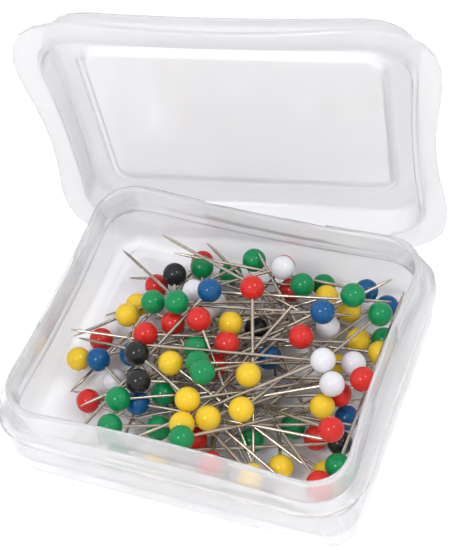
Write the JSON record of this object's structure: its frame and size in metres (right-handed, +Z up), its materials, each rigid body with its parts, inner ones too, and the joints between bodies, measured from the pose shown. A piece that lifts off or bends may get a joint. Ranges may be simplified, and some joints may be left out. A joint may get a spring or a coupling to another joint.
{
  "type": "pin box with ball-head pins",
  "caption": "Clear moulded pin box with rounded corners, loose lobed lift-off lid leaning behind it, bare label under the floor and a heap of ball-head dressmaking pins.",
  "frame": {"origin": "middle of the whole arrangement in plan, on the surface that the tray and the lid stand on", "axes": "+X to the right along the tray's long side, +Y to the back toward the lid, +Z up"},
  "size_m": [0.0746, 0.0728, 0.0629],
  "materials": {
    "box_plastic": "clear, slightly milky moulded plastic",
    "lid_plastic": "clear, slightly milky moulded plastic",
    "label_paper": "bare paper label",
    "pin_steel": "polished nickel-plated steel",
    "head_red": "glossy coloured ball head",
    "head_yellow": "glossy coloured ball head",
    "head_green": "glossy coloured ball head",
    "head_blue": "glossy coloured ball head",
    "head_white": "glossy coloured ball head",
    "head_black": "glossy coloured ball head"
  },
  "bodies": {
    "tray": {"box": "box_plastic", "base_label": "label_paper", "pin_01_head": "head_red", "pin_01_shaft": "pin_steel", "pin_02_head": "head_white", "pin_02_shaft": "pin_steel", "pin_03_head": "head_blue", "pin_03_shaft": "pin_steel", "pin_04_head": "head_red", "pin_04_shaft": "pin_steel", "pin_05_head": "head_yellow", "pin_05_shaft": "pin_steel", "pin_06_head": "head_red", "pin_06_shaft": "pin_steel", "pin_07_head": "head_green", "pin_07_shaft": "pin_steel", "pin_08_head": "head_green", "pin_08_shaft": "pin_steel", "pin_09_head": "head_red", "pin_09_shaft": "pin_steel", "pin_10_head": "head_green", "pin_10_shaft": "pin_steel", "pin_11_head": "head_blue", "pin_11_shaft": "pin_steel", "pin_12_head": "head_green", "pin_12_shaft": "pin_steel", "pin_13_head": "head_yellow", "pin_13_shaft": "pin_steel", "pin_14_head": "head_yellow", "pin_14_shaft": "pin_steel", "pin_15_head": "head_red", "pin_15_shaft": "pin_steel", "pin_16_head": "head_red", "pin_16_shaft": "pin_steel", "pin_17_head": "head_yellow", "pin_17_shaft": "pin_steel", "pin_18_head": "head_yellow", "pin_18_shaft": "pin_steel", "pin_19_head": "head_red", "pin_19_shaft": "pin_steel", "pin_20_head": "head_green", "pin_20_shaft": "pin_steel", "pin_21_head": "head_green", "pin_21_shaft": "pin_steel", "pin_22_head": "head_green", "pin_22_shaft": "pin_steel", "pin_23_head": "head_yellow", "pin_23_shaft": "pin_steel", "pin_24_head": "head_red", "pin_24_shaft": "pin_steel", "pin_25_head": "head_red", "pin_25_shaft": "pin_steel", "pin_26_head": "head_yellow", "pin_26_shaft": "pin_steel"},
    "lid": {"lid": "lid_plastic"},
    "top_pin_1": {"top_pin_1_head": "head_white", "top_pin_1_shaft": "pin_steel"},
    "top_pin_2": {"top_pin_2_head": "head_white", "top_pin_2_shaft": "pin_steel"}
  },
  "joints": [
    {"name": "lid_away", "type": "slide", "parent": "tray", "child": "lid", "axis": [-0.1908, 0.9816, 0], "range_m": [0, 0.05]},
    {"name": "top_pin_1_lift", "type": "slide", "parent": "tray", "child": "top_pin_1", "axis": [0, 0, 1], "range_m": [0, 0.04]},
    {"name": "top_pin_2_lift", "type": "slide", "parent": "tray", "child": "top_pin_2", "axis": [0, 0, 1], "range_m": [0, 0.04]}
  ]
}
